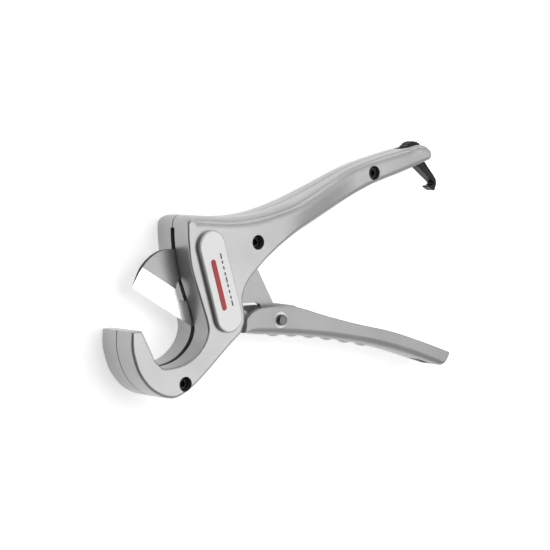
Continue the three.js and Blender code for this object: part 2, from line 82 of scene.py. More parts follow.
def smooth(control, steps):
    """Closed Catmull-Rom outline. Kind 'c' is a sharp corner, a number is a station of the handle."""
    n, out = len(control), []
    q = [tuple(p) + (None,) * (4 - len(p)) for p in control]
    for i in range(n):
        p1, p2 = q[i], q[(i + 1) % n]
        p0 = p1 if p1[3] == "c" else q[(i - 1) % n]
        p3 = p2 if p2[3] == "c" else q[(i + 2) % n]
        length = math.hypot(p2[0] - p1[0], p2[1] - p1[1])
        corners = (p1[3] == "c") + (p2[3] == "c")
        both = isinstance(p1[3], int) and isinstance(p2[3], int)
        if both:
            m = steps
        elif corners == 2 or (corners and length < 8):
            m = 1
        elif corners or length < 4:
            m = min(2, steps)  # finer steps would fold the rounded edge over itself at a corner
        else:
            m = steps
        for k in range(m):
            t = k / m
            at = lambda j: 0.5 * (2 * p1[j] + (p2[j] - p0[j]) * t + (2 * p0[j] - 5 * p1[j] + 4 * p2[j] - p3[j]) * t * t
                                  + (3 * p1[j] - p0[j] - 3 * p2[j] + p3[j]) * t ** 3)
            out.append((at(0), at(1), p1[2] + (p2[2] - p1[2]) * t, p1[3] if k == 0 else None))
    return out


def inset(pts, amount):
    n, out = len(pts), []
    for i, p in enumerate(pts):
        a, b = pts[i - 1], pts[(i + 1) % n]
        ux, uy, vx, vy = p[0] - a[0], p[1] - a[1], b[0] - p[0], b[1] - p[1]
        lu, lv = math.hypot(ux, uy), math.hypot(vx, vy)
        nu, nv = (-uy / lu, ux / lu), (-vy / lv, vx / lv)
        m = (nu[0] + nv[0], nu[1] + nv[1])
        l = math.hypot(*m)
        k = min(1 / max((m[0] * nu[0] + m[1] * nu[1]) / l, 0.5), 1.6)
        d = amount(p) * k / l
        out.append((p[0] + m[0] * d, p[1] + m[1] * d))
    return out


def half(x):
    t = min(max((x + 5) / 50, 0), 1)
    return MID + (8 - MID) * t * t * (3 - 2 * t)


def new(name, verts, faces):
    me = bpy.data.meshes.new(name)
    me.from_pydata([((x - ORIGIN[0]) / 1000, (y - ORIGIN[1]) / 1000, z / 1000) for x, y, z in verts], [], faces)
    me.update()
    o = bpy.data.objects.new(name, me)
    bpy.context.scene.collection.objects.link(o)
    return o


def area(pts):
    return sum(pts[i - 1][0] * p[1] - p[0] * pts[i - 1][1] for i, p in enumerate(pts)) / 2


def prism(pts, z0, z1, name="tmp"):
    pts = [(p[0], p[1]) for p in pts]
    if area(pts) < 0:
        pts = pts[::-1]
    n = len(pts)
    v = [(x, y, z0) for x, y in pts] + [(x, y, z1) for x, y in pts]
    f = [[(i + 1) % n for i in range(n)][::-1], [n + i for i in range(n)]]
    f += [[i, (i + 1) % n, n + (i + 1) % n, n + i] for i in range(n)]
    return new(name, v, f)


def rod(at, r, z0, z1, n=72, name="tmp"):
    return prism([(at[0] + r * math.cos(2 * math.pi * i / n), at[1] + r * math.sin(2 * math.pi * i / n)) for i in range(n)], z0, z1, name)


def lathe(name, at, profile, n=72):
    """Turned part. The profile runs from the axis at the bottom to the axis at the top."""
    v, f = [], []
    ring = profile[1:-1]
    v.append((at[0], at[1], profile[0][1]))
    for r, z in ring:
        v += [(at[0] + r * math.cos(2 * math.pi * i / n), at[1] + r * math.sin(2 * math.pi * i / n), z) for i in range(n)]
    v.append((at[0], at[1], profile[-1][1]))
    f += [[0, 1 + (i + 1) % n, 1 + i] for i in range(n)]
    for k in range(len(ring) - 1):
        a, b = 1 + k * n, 1 + (k + 1) * n
        f += [[a + i, a + (i + 1) % n, b + (i + 1) % n, b + i] for i in range(n)]
    a, t = 1 + (len(ring) - 1) * n, len(v) - 1
    f += [[a + i, a + (i + 1) % n, t] for i in range(n)]
    return new(name, v, f)


def rounded(outline, z0, z1, levels, flare, name="tmp"):
    """Prism with rounded top and bottom edges; flare thins it about the parting plane along the handle."""
    n, v, f, rings = len(outline), [], [], []
    for top in (False, True):
        for k in (range(levels, -1, -1) if not top else range(levels + 1)):
            a = 90 * k / levels * R
            ring = inset(outline, lambda p: p[2] * (1 - math.cos(a)))
            rings.append(len(v))
            for (x, y), p in zip(ring, outline):
                drop = p[2] * (1 - math.sin(a))
                z = z1 - drop if top else z0 + drop
                if flare:
                    z = MID + (z - MID) * half(p[0]) / MID
                v.append((x, y, z))
    for a, b in zip(rings, rings[1:]):
        for i in range(n):
            j = (i + 1) % n
            f.append([a + i, a + j, b + j, b + i])
    at = {}
    for i, p in enumerate(outline):
        if isinstance(p[3], int):
            at.setdefault(p[3], []).append(i)
    keys = sorted(at)

    def walk(a, b):
        out = [a]
        while out[-1] != b:
            out.append((out[-1] + 1) % n)
        return out

    polys = []
    if not keys:
        polys.append(list(range(n)))
    else:
        polys.append(walk(at[keys[0]][1], at[keys[0]][0]))
        for k, m in zip(keys, keys[1:]):
            low, high = walk(at[k][0], at[m][0]), walk(at[m][1], at[k][1])[::-1]
            polys += [[low[i], low[i + 1], high[i + 1], high[i]] for i in range(len(low) - 1)]
        polys.append(walk(at[keys[-1]][0], at[keys[-1]][1]))
    for loop in polys:
        f.append([rings[0] + i for i in loop][::-1])
        f.append([rings[-1] + i for i in loop])
    return new(name, v, f)


def boolean(a, b, op):
    m = a.modifiers.new("b", "BOOLEAN")
    m.object, m.operation, m.solver = b, op, "MANIFOLD"
    bpy.context.view_layer.update()
    made = bpy.data.meshes.new_from_object(a.evaluated_get(bpy.context.evaluated_depsgraph_get()))
    a.modifiers.clear()
    old, a.data = a.data, made
    bpy.data.meshes.remove(old)
    bpy.data.objects.remove(b)
    if not len(a.data.polygons):
        raise RuntimeError(f"boolean {op} left {a.name} empty")
    return a


def cut(a, *tools):
    for t in tools:
        boolean(a, t, "DIFFERENCE")
    return a


def add(a, *tools):
    for t in tools:
        boolean(a, t, "UNION")
    return a


def keep(a, *tools):
    for t in tools:
        boolean(a, t, "INTERSECT")
    return a


def block(x0, x1, y0, y1, z0, z1):
    return prism([(x0, y0), (x1, y0), (x1, y1), (x0, y1)], z0, z1)


def finish_mesh(o, name, angle=32, bevel=0.0, segments=2):
    """Welds the mesh and gives it normals: flats stay dead flat, and the rounded edges run into them tangentially."""
    o.name = name
    o.data.name = name
    me = o.data
    bm = bmesh.new()
    bm.from_mesh(me)
    bmesh.ops.remove_doubles(bm, verts=bm.verts, dist=3e-6)
    bmesh.ops.dissolve_degenerate(bm, edges=bm.edges, dist=2e-6)
    bmesh.ops.triangulate(bm, faces=[f for f in bm.faces if len(f.verts) > 4], quad_method="BEAUTY", ngon_method="BEAUTY")
    bm.to_mesh(me)
    bm.free()
    me.polygons.foreach_set("use_smooth", [True] * len(me.polygons))
    me.set_sharp_from_angle(angle=angle * R)
    if bevel:
        m = o.modifiers.new("edge", "BEVEL")
        m.width, m.segments, m.limit_method, m.angle_limit = bevel / 1000, segments, "ANGLE", 40 * R
        w = o.modifiers.new("normals", "WEIGHTED_NORMAL")
        w.keep_sharp = True
        return o
    me.update()
    highest = max(v.co.z for v in me.vertices)
    for p in me.polygons:
        if p.normal.z < -0.5 and p.area > 1e-9 and all(me.vertices[i].co.z > highest - 1e-5 for i in p.vertices):
            raise RuntimeError(f"{name}: a face on the top is folded over")
    flat = {}
    for p in me.polygons:
        if abs(p.normal.z) > 0.99998:
            for v in p.vertices:
                flat[v] = Vector((0, 0, 1 if p.normal.z > 0 else -1))
    normals = [None] * len(me.loops)
    corner = me.corner_normals
    for p in me.polygons:
        level = abs(p.normal.z) > 0.99998
        for k in p.loop_indices:
            n = Vector(corner[k].vector)
            if level:
                n = Vector((0, 0, 1 if p.normal.z > 0 else -1))
            else:
                f = flat.get(me.loops[k].vertex_index)
                if f is not None and n.dot(f) > math.cos(angle * R) and p.normal.dot(f) > math.cos(angle * R):
                    n = f
            normals[k] = n
    me.normals_split_custom_set(normals)
    return o


# ---- materials
def nodes_of(name):
    m = bpy.data.materials.new(name)
    m.use_nodes = True
    t = m.node_tree
    return m, t, t.nodes["Principled BSDF"], (lambda kind: t.nodes.new(kind)), t.links.new


def metal(name, dark, light, rough, metallic, grain=1400.0, bump=0.06, stretch=None, coat=0.0, patch=38.0, aniso=0.0, specks=0.0):
    """Colour drifts slowly between dark and light, fine grain breaks the gloss, and the same grain lifts the surface."""
    m, t, b, node, link = nodes_of(name)
    at = node("ShaderNodeTexCoord")
    place = node("ShaderNodeMapping")
    link(at.outputs["Object"], place.inputs["Vector"])
    if stretch:
        place.inputs["Rotation"].default_value = (0, 0, stretch[0] * R)
        place.inputs["Scale"].default_value = (1, stretch[1], 1)
    slow, fine = node("ShaderNodeTexNoise"), node("ShaderNodeTexNoise")
    slow.inputs["Scale"].default_value, slow.inputs["Detail"].default_value = patch, 3
    fine.inputs["Scale"].default_value, fine.inputs["Detail"].default_value = grain, 4
    link(at.outputs["Object"], slow.inputs["Vector"])
    link(place.outputs["Vector"], fine.inputs["Vector"])
    mix = node("ShaderNodeMix")
    mix.data_type = "FLOAT"
    mix.inputs[0].default_value = 0.45
    link(slow.outputs["Fac"], mix.inputs[2])
    link(fine.outputs["Fac"], mix.inputs[3])
    ramp = node("ShaderNodeValToRGB")
    ramp.color_ramp.elements[0].position, ramp.color_ramp.elements[1].position = 0.36, 0.64
    ramp.color_ramp.elements[0].color, ramp.color_ramp.elements[1].color = (*dark, 1), (*light, 1)
    link(mix.outputs[0], ramp.inputs["Fac"])
    colour = ramp.outputs["Color"]
    if specks:
        dots = node("ShaderNodeTexNoise")
        dots.inputs["Scale"].default_value, dots.inputs["Detail"].default_value = 420, 2
        link(at.outputs["Object"], dots.inputs["Vector"])
        cutoff = node("ShaderNodeMapRange")
        cutoff.inputs["From Min"].default_value, cutoff.inputs["From Max"].default_value = 0.66, 0.72
        cutoff.inputs["To Max"].default_value = specks
        link(dots.outputs["Fac"], cutoff.inputs["Value"])
        worn = node("ShaderNodeMix")
        worn.data_type = "RGBA"
        link(cutoff.outputs[0], worn.inputs[0])
        link(colour, worn.inputs[6])
        worn.inputs[7].default_value = tuple(c * 0.6 for c in dark) + (1,)
        colour = worn.outputs[2]
    link(colour, b.inputs["Base Color"])
    span = node("ShaderNodeMapRange")
    span.inputs["To Min"].default_value, span.inputs["To Max"].default_value = rough - 0.07, rough + 0.07
    link(fine.outputs["Fac"], span.inputs["Value"])
    link(span.outputs[0], b.inputs["Roughness"])
    lift = node("ShaderNodeBump")
    lift.inputs["Strength"].default_value, lift.inputs["Distance"].default_value = bump, 0.0002
    link(fine.outputs["Fac"], lift.inputs["Height"])
    link(lift.outputs["Normal"], b.inputs["Normal"])
    b.inputs["Metallic"].default_value = metallic
    b.inputs["Coat Weight"].default_value = coat
    b.inputs["Anisotropic"].default_value = aniso
    return m, t, b, colour


def painted_slot_shade(material, reach=0.004, depth=0.85, joint=False):
    """Painted shade: narrow slots and counterbores are darkened towards near-black by an ambient-occlusion mask; with
    joint, the joint between the halves is drawn as a dark line.
    """
    m, t, b, colour = material
    node, link = t.nodes.new, t.links.new
    # painted shade: ambient occlusion mixes the colour towards near-black in slots and counterbores
    ao = node("ShaderNodeAmbientOcclusion")
    ao.samples, ao.only_local = 8, True
    ao.inputs["Distance"].default_value = reach
    deep = node("ShaderNodeMapRange")
    deep.inputs["From Min"].default_value, deep.inputs["From Max"].default_value = 0.10, 0.45
    deep.inputs["To Min"].default_value, deep.inputs["To Max"].default_value = depth, 0.0
    link(ao.outputs["AO"], deep.inputs["Value"])
    factor = deep.outputs[0]
    if joint:
        at, part = node("ShaderNodeTexCoord"), node("ShaderNodeSeparateXYZ")
        link(at.outputs["Object"], part.inputs[0])
        near, dist = node("ShaderNodeMath"), node("ShaderNodeMapRange")
        near.operation, near.inputs[1].default_value = "SUBTRACT", MID / 1000
        off = node("ShaderNodeMath")
        off.operation = "ABSOLUTE"
        link(part.outputs["Z"], near.inputs[0])
        link(near.outputs[0], off.inputs[0])
        dist.inputs["From Min"].default_value, dist.inputs["From Max"].default_value = 0.00022, 0.00042
        dist.inputs["To Min"].default_value, dist.inputs["To Max"].default_value = 0.8, 0.0
        link(off.outputs[0], dist.inputs["Value"])
        worst = node("ShaderNodeMath")
        worst.operation = "MAXIMUM"
        link(factor, worst.inputs[0])
        link(dist.outputs[0], worst.inputs[1])
        factor = worst.outputs[0]
    mix = node("ShaderNodeMix")
    mix.data_type = "RGBA"
    link(factor, mix.inputs[0])
    link(colour, mix.inputs[6])
    mix.inputs[7].default_value = (0.012, 0.012, 0.013, 1)
    link(mix.outputs[2], b.inputs["Base Color"])
    return m, t, b, mix.outputs[2]


def grey(v):
    v /= 255
    return v / 12.92 if v <= 0.04045 else ((v + 0.055) / 1.055) ** 2.4


def tone(a, warm=0.0):
    g = grey(a)
    return (g * (1 + warm), g, g * (1 - warm))


# the body alloy carries painted shade in its slots and counterbores, and a dark joint line between the halves
ALLOY = painted_slot_shade(metal("cast_alloy_satin", tone(171), tone(184), 0.31, 0.72, grain=1500, bump=0.035, coat=0.0, specks=0.0), joint=True)[0]
LEVER = metal("lever_alloy_satin", tone(163, 0.006), tone(175, 0.006), 0.36, 0.45, grain=1300, bump=0.10, coat=0.05, specks=0.0)
PLATE = metal("blade_plate_brushed", tone(158), tone(173), 0.34, 0.7, grain=520, bump=0.04, stretch=(28, 14), aniso=0.4)[0]
GROUND = metal("blade_bevel_ground", tone(246), tone(254), 0.24, 0.9, grain=700, bump=0.012, stretch=(118, 16), aniso=0.3)[0]
STEEL = metal("turned_steel", tone(92), tone(118), 0.30, 0.9, grain=900, bump=0.05, aniso=0.3)[0]
BLACK = metal("black_oxide", tone(30), tone(45), 0.40, 0.6, grain=1100, bump=0.10, specks=0.2)[0]
# painted shade: a near-black colour for the blade's exposed back edge
BLADE_EDGE_SHADE = metal("blade_edge_painted_shade", tone(40), tone(58), 0.45, 0.5, grain=900, bump=0.05)[0]
SPRING = metal("spring_wire", tone(92), tone(126), 0.36, 0.9, grain=1000, bump=0.05)[0]

# a bright machined ring round the blade pin, on the lever's sides
_, tree, bsdf, base = LEVER
pos = tree.nodes.new("ShaderNodeTexCoord")
off = tree.nodes.new("ShaderNodeVectorMath")
off.operation = "SUBTRACT"
off.inputs[1].default_value = ((BLADE_PIN[0] - ORIGIN[0]) / 1000, (BLADE_PIN[1] - ORIGIN[1]) / 1000, 0)
flat = tree.nodes.new("ShaderNodeVectorMath")
flat.operation = "MULTIPLY"
flat.inputs[1].default_value = (1, 1, 0)
size = tree.nodes.new("ShaderNodeVectorMath")
size.operation = "LENGTH"
edge = tree.nodes.new("ShaderNodeMapRange")
edge.inputs["From Min"].default_value, edge.inputs["From Max"].default_value = 0.0039, 0.0042
edge.inputs["To Min"].default_value, edge.inputs["To Max"].default_value = 0.75, 0.0
ringed = tree.nodes.new("ShaderNodeMix")
ringed.data_type = "RGBA"
tree.links.new(pos.outputs["Object"], off.inputs[0])
tree.links.new(off.outputs[0], flat.inputs[0])
tree.links.new(flat.outputs[0], size.inputs[0])
tree.links.new(size.outputs["Value"], edge.inputs["Value"])
tree.links.new(edge.outputs[0], ringed.inputs[0])
tree.links.new(base, ringed.inputs[6])
ringed.inputs[7].default_value = (*tone(232), 1)
tree.links.new(ringed.outputs[2], bsdf.inputs["Base Color"])
LEVER = LEVER[0]

PAPER = metal("label_film", tone(250), tone(255), 0.30, 0.0, grain=600, bump=0.02, coat=0.25)[0]
INK_RED = metal("label_ink_red", (0.42, 0.02, 0.02), (0.55, 0.03, 0.03), 0.38, 0.0, grain=900, bump=0.03)[0]
INK_DARK = metal("label_ink_dark", tone(30), tone(48), 0.38, 0.0, grain=900, bump=0.03)[0]


def dress(o, body, material, slot=None, *nodes):
    if not any(o.data.materials):
        o.data.materials.clear()
        o.data.materials.append(material)
    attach(o, body)
    if nodes:
        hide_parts(*nodes)
    return o


# ---- body
BODY = [
    (-95.2, -24.4, E, "c"), (-95.4, -30, E), (-94.6, -35.5, E), (-91.6, -43.4, E), (-87.3, -49.2, E), (-82.7, -53.2, E),
    (-77, -56, E), (-72.7, -57, E), (-68.2, -56.9, E), (-61.3, -53.8, E), (-52.8, -47.4, E), (-42.7, -38.2, E),
    (-35.5, -31.6, E), (-30.3, -27.3, E, "c"), (-28.3, -22.5, E), (-28.2, -17.5, E), (-29.5, -11.8, E), (-29.3, -8.6, E),
    (-27.5, -4, E), (-24.4, 0.2, E), (-17.1, 7.2, E), (-12.3, 11, 1.9, 1), (-4.6, 16.4, 2.2, 2), (5.8, 22.1, UNDER, 3),
    (16.5, 27.1, UNDER, 4), (27.2, 32.1, UNDER, 5), (36.5, 36.6, UNDER, 6), (47.9, 42, UNDER, 7), (59.3, 46.6, UNDER, 8),
    (73.5, 51.1, UNDER, 9), (85.3, 55, UNDER, 10), (93.2, 57.9, 2.8, 11), (96.6, 59.3, 2.2), (97.5, 61.4, 2.0),
    (96.5, 63.8, 2.0), (94, 65.8, 2.6), (89.6, 66.5, 3.8, 11), (82.8, 64.9, GRIP, 10), (70.2, 61.9, GRIP, 9),
    (55.8, 58, GRIP, 8), (43.2, 53.8, GRIP, 7), (31, 48.4, GRIP, 6), (20.4, 43.7, 5.6, 5), (8.6, 38.7, 6, 4),
    (-2.6, 34.8, TOP, 3), (-14, 31.8, TOP, 2), (-24, 30.2, TOP, 1), (-34.6, 29.5, TOP), (-47, 29.8, TOP),
    (-58.2, 30.3, TOP), (-61.6, 29.7, 4.5), (-63.4, 27.6, 2), (-63.7, 24.6, 1), (-63.2, 16.7, 1),
    (-61.2, 5, 1), (-55.9, -9.1, 1), (-51, -22.1, 1), (-51, -27.9, 1), (-53.9, -33.7, 1), (-60.3, -39.2, 1),
    (-68.7, -42.1, 1), (-77.2, -42.3, 1), (-81.5, -38.6, 1, "c"), (-89.6, -24.1, 1, "c"),
]
HEAD_ROOM = [(-60.2, 25.2), (-60.0, 16.3), (-58.2, 5.6), (-52.8, -9.0), (-47.9, -21.4), (-47.9, -27.2), (-44.6, -33.2), (-34.5, -27.7),
             (-33.6, -32.5), (-24.0, -32.5), (-22.0, -4.6), (-29.6, -3.2), (-26.9, 2.2), (-19.0, 9.8), (-11.0, 15.4),
             (-2.6, 20.6), (-2.6, 29.6), (-14.6, 26.6), (-24.5, 25.4), (-34.6, 24.8)]
SLOT = [(-72, 24.1), (-72, -8), (-78, -16), (-88.0, -25.4), (-90.2, -28.0), (-90.4, -33), (-89.4, -38.5), (-86.8, -44.5),
        (-84.2, -48.4), (-80.8, -50.2), (-70, -46.8), (-61, -44.2), (-50, -41.9), (-45.3, -38.8), (-39.6, -34.3), (-34.2, -27.9),
        (-24, -24.5), (-16, -6), (-6, 6), (2, 14), (4.4, 19.6), (2, 24.6), (-8, 23.6), (-22, 23.6), (-54, 24.1)]
LATCH_SLOT = [(78.4, 70), (81.2, 61.6), (81.6, 57.4), (80.0, 48), (104, 48), (104, 72)]
POST = blade_at((-56.1, -5.6), OPEN - 0.6)
SCREWS = [((-63.8, -50.5), 23.2, 20.1, 2.0, 5.2), ((-21.2, 17.1), 23.2, 20.1, 2.0, 5.2), ((57.5, 51.7), 19.4, 16.6, 6.3, 8.9)]
LABEL = ((-50.6, 15.4), (-39.6, -18.6))


def stadium(a, b, r, n=24):
    t = math.atan2(b[1] - a[1], b[0] - a[0])
    out = [(b[0] + r * math.cos(t - math.pi / 2 + math.pi * i / n), b[1] + r * math.sin(t - math.pi / 2 + math.pi * i / n)) for i in range(n + 1)]
    out += [(a[0] + r * math.cos(t + math.pi / 2 + math.pi * i / n), a[1] + r * math.sin(t + math.pi / 2 + math.pi * i / n)) for i in range(n + 1)]
    return out


HANDLE_ROOM = [
    (-3.0, 21.4, 2, 1), (6.2, 26.0, 2, 2), (16.8, 30.8, 2, 3), (27.6, 35.8, 2, 4), (37.0, 40.3, 2, 5), (47.0, 45.2, 2), (49.4, 46.2, 2), (48.6, 50.8, 2),
    (45.8, 51.2, 2), (33.0, 45.6, 2, 5), (22.0, 40.8, 2, 4), (10.6, 36.0, 2, 3), (-0.2, 31.6, 2, 2), (-4.0, 29.4, 2, 1)]
TAIL_ROOM = [(67.5, 53.2), (78.0, 56.6), (82.0, 57.8), (80.6, 61.4), (76.4, 60.2), (66.4, 57.4)]
DOWELS = [(-92.4, -31.6), (66.0, 54.6)]


def hollow():
    """Everything the two halves are hollowed out by: the same room that the blade, lever and latch move in."""
    boss = SCREWS[1][0]
    room = prism(HEAD_ROOM, 3.2, 22.8)
    add(room, rounded(smooth(HANDLE_ROOM, 1), 3.6, 22.4, 2, True), prism(TAIL_ROOM, 7.2, 18.8))
    cut(room, rod(POST, 5.0, 0.5, 25.5), rod(PIVOT, 4.5, 0.5, 5.6), rod(PIVOT, 4.5, 19.5, 25.5), rod(boss, 4.3, 0.5, 25.5))
    slot = cut(prism(SLOT, MID - 1.6, MID + 1.6), rod(boss, 4.3, 0, 26))
    spring = prism([turn((LATCH[0] + x, LATCH[1] + y), LATCH, 15) for x, y in ((-4.6, -3.1), (4.6, -3.1), (4.6, 3.1), (-4.6, 3.1))], 10.2 + 5.6, 18.4)
    return add(room, slot, prism(LATCH_SLOT, 9.8, 16.2), spring, rod(LATCH, 3.9, 15.8, 18.4, 40))


def half_body(front):
    o = rounded(smooth(BODY, STEPS), 0, THICK, LEVELS, True)
    cut(o, hollow(), rod(POST, PIN_R + CLEAR, 2, 24), rod(PIVOT, PIN_R + CLEAR, 2, 24), rod(LATCH, 1.83, 7.4, 18.6, 40))
    cut(o, *[rod(at, 1.31, MID - 3.6, MID + 3.6, 24) for at in DOWELS])
    cut(o, rod(POST, 6.05, MID - 1.6, MID + 1.6))
    for at, head, seat, floor, nut in SCREWS:
        cut(o, rod(at, 3.65, seat, 40), rod(at, 2.25, -10, 40, 40), rod(at, 4.35, -10, nut + 0.1, 6))
    if front:
        pad = [(x, y, 0.6, None) for x, y in stadium(*LABEL, 7.9)]
        o = keep(o, block(-200, 200, -200, 200, MID + GAP / 2, 60))
        add(o, rounded(pad, 24.5, 28, 5, False))
    else:
        o = keep(o, block(-200, 200, -200, 200, -20, MID - GAP / 2))
    return o


front = finish_mesh(half_body(True), "cast_half_front", 28)
back = finish_mesh(half_body(False), "cast_half_back", 28)
dress(front, "body", ALLOY, "body_alloy", "body_half_front")
dress(back, "body", ALLOY, "body_alloy", "body_half_back")

# ---- blade
OUT = [(-87.0, -4.3, 0, "c"), (-83.6, 2.4, 0), (-79.5, 7.7, 0), (-73.8, 11.8, 0), (-68.6, 13.4, 0), (-60, 13.9, 0), (-50, 14.2, 0),
       (-38, 13.5, 0), (-28, 12.7, 0), (-19.0, 10.3, 0), (-15.6, 8.6, 0, "c"), (-11.6, 2.5, 0, "c"), (-1.8, -13.8, 0, "c"), (8.5, -15.0, 0),
       (12.8, -15.9, 0), (13.8, -17.8, 0), (12.4, -20.2, 0), (5, -23.6, 0), (-0.6, -25.9, 0), (-5.4, -25.9, 0), (-8.4, -23.2, 0),
       (-9.2, -18.0, 0), (-10.2, -14.2, 0), (-12.4, -13.4, 0, "c"), (-22, -13.4, 0, "c"), (-28, -12.2, 0), (-33, -10.9, 0), (-37.5, -10.6, 0),
       (-41.8, -12.6, 0), (-43.6, -16.6, 0), (-44.4, -19.6, 0), (-47.4, -21.8, 0), (-50.6, -24.2, 0, "c"), (-51.3, -24.1, 0, "c")]
Z0, Z1 = MID - 1.2, MID + 1.2
blade = prism(smooth(OUT, 6), Z0, Z1)
path, d = [], OPEN - 0.6
while d < SHUT + 0.4:
    path.append(seen_by_blade(POST, d))
    d += 1.5
path.append(seen_by_blade(POST, SHUT + 1.4))


def side(k, s):
    a, b = path[max(k - 1, 0)], path[min(k + 1, len(path) - 1)]
    l = math.hypot(b[0] - a[0], b[1] - a[1])
    return (path[k][0] - s * (b[1] - a[1]) / l * 5.9, path[k][1] + s * (b[0] - a[0]) / l * 5.9)


cut(blade, prism([side(k, -1) for k in range(len(path))] + [side(k, 1) for k in range(len(path))][::-1], 8, 18),
    rod(path[0], 5.9, 8, 18), rod(path[-1], 5.9, 8, 18), rod(BLADE_PIN, 2.58, 5, 20))
tip, heel = Vector((-87.4, -4.5, MID)), Vector((-47.2, -26.6, MID))
along = (heel - tip).normalized()
inward = Vector((-along.y, along.x, 0))
for s in (1, -1):
    sec = lambda p: [p + inward * -3 + Vector((0, 0, s * (0.04 - 3 * 1.16 / 11.2))), p + inward * 11.2 + Vector((0, 0, s * 1.2)),
                     p + inward * 11.2 + Vector((0, 0, s * 4)), p + inward * -3 + Vector((0, 0, s * 4))]
    v = [tuple(p) for p in sec(tip - along * 20) + sec(heel + along * 20)]
    quads = [[0, 1, 5, 4], [1, 2, 6, 5], [2, 3, 7, 6], [3, 0, 4, 7], [3, 2, 1, 0], [4, 5, 6, 7]]
    wedge = new("tmp", v, quads if s > 0 else [q[::-1] for q in quads])
    keep(wedge, prism([(-95, -10), (-60, -34), (-46.9, -30), (-46.9, -18), (-60, -4), (-76, 12), (-95, 12)], 5, 20))
    cut(blade, wedge)
blade.data.materials.clear()
blade.data.materials.append(PLATE)
blade.data.materials.append(GROUND)
blade.data.materials.append(BLADE_EDGE_SHADE)
for p in blade.data.polygons:
    # painted shade: only the back edge that stands out of the body is painted near-black, as the dark shadow line along
    # the slot
    c = (p.center.x * 1000 + ORIGIN[0], p.center.y * 1000 + ORIGIN[1])
    p.material_index = 2 if abs(p.normal.z) < 0.5 and c[0] < -58 and c[1] > -6 else 1 if 0.97 < abs(p.normal.z) < 0.9993 else 0
finish_mesh(blade, "ground_blade", 3)
dress(blade, "blade", PLATE, "blade_steel", "blade")

# ---- lower handle
LEV = [(-24.4, -21.0, 0.6), (-24.5, -24.4, 0.6), (-25.6, -27.6, 1.2, "c"), (-16, -28.7, 4), (-6.3, -29.2, 4.2), (5, -29.9, 4.2), (17, -30.9, 4.2), (30, -32.4, 4.2),
       (42, -34.1, 4.2), (54, -36.0, 4.2), (66, -38.4, 4.2), (81.3, -42.1, 4.0), (96.4, -46.4, 3.6), (105.4, -49.0, 3.0), (108.0, -49.2, 2.4), (110.2, -47.6, 1.8),
       (112.2, -43.6, 1.0), (111.8, -42.4, 0.7), (109.0, -41.5, 0.6), (100.5, -38.7, 0.6), (84.1, -33.7, 0.6), (68.1, -29.5, 0.6), (47.2, -25.4, 0.6),
       (26.5, -20.6, 0.6), (12.0, -16.7, 0.6), (4.0, -15.4, 0.6), (-7.8, -15.2, 0.6), (-15.4, -15.8, 0.6), (-20.6, -17.6, 0.6)]
lever = rounded(smooth(LEV, 5), 3.8, 22.2, 8, False)
for x, drop in zip((-1, 10.8, 22.6, 34.4, 46.2, 58), (0.95, 1.6, 2.75, 4.2, 6.0, 8.0)):
    bump = lathe("tmp", (0, 0), [(0, -1)] + [(math.sin(a * R), -math.cos(a * R)) for a in range(8, 180, 8)] + [(0, 1)], 48)
    for vert in bump.data.vertices:
        u = Vector((vert.co.x * 1000 + ORIGIN[0], vert.co.y * 1000 + ORIGIN[1], vert.co.z * 1000))
        vert.co = Vector(((u.x * 4.4 + x - ORIGIN[0]) / 1000, (u.y * 4.4 - 25.35 - drop - ORIGIN[1]) / 1000, (u.z * 6.6 + MID) / 1000))
    add(lever, bump)
tongue = [(-22, -17.4), (-27, -15.2)] + [(PIVOT[0] + 6.1 * math.cos(a * R), PIVOT[1] + 6.1 * math.sin(a * R)) for a in range(112, 261, 6)] + [
    (-33.8, -25.8), (-29.4, -25.2), (-22, -26.6)]
add(lever, prism(tongue, 6.8, 19.2))
floor = [(p[0], p[1] + 2.6) for p in LEV[2:16]]
channel = [(-60, -5), (-60, -32.0), (-42, -30), (-31.6, -24.4), (-29.5, -23.9), (-22.2, -25.2)] + floor[1:-1] + [(116, -46.6), (116, -10)]
narrow = [(-60, -5), (-60, -34.0), (-42, -30), (-31.6, -24.4), (-29.5, -23.9), (-22.2, -25.2), (-16, -25.6), (-16, -10)]
wide = keep(prism(channel, 6.2, 19.8), block(-21.8, 120, -60, 0, 0, 30))
cut(lever, wide, prism(narrow, 9.2, 16.8), prism([(93.0, -50), (103.2, -53), (106.0, -42), (95.6, -40)], 9.3, 16.7),
    rod(PIVOT, PIN_R + CLEAR, 0, 30), rod(BLADE_PIN, 2.56, 0, 30), rod((-27.6, -18.6), 0.9, 16, 25, 16))
finish_mesh(lever, "cast_lever", 30)
dress(lever, "lever", LEVER, "lever_alloy", "lower_handle")

# ---- latch
kn = []
for i in range(73):
    a = (-14 + i * 4) * R
    tooth = 0.4 if 2 < i < 54 and i % 4 in (2, 3) else 0
    kn.append((6.5 + tooth, a))
hook = [(r * math.cos(a), r * math.sin(a)) for r, a in kn] + [
    (3.0, -6.3), (14.4, -14.4), (14.7, -15.1), (13.6, -15.9), (11.2, -16.4), (11.6, -17.2), (14.5, -18.7), (15.2, -18.6),
    (16.3, -15.4), (16.0, -13.0), (14.2, -10.7), (10.8, -7.2), (7.9, -4.0)]
latch = prism([(LATCH[0] + x, LATCH[1] + y) for x, y in hook], 10.2, 15.8)
cut(latch, rod(LATCH, 1.84, 0, 30))
dress(finish_mesh(latch, "knurled_latch", 30, 0.22), "latch", BLACK, "blackened_steel", "latch_hook")

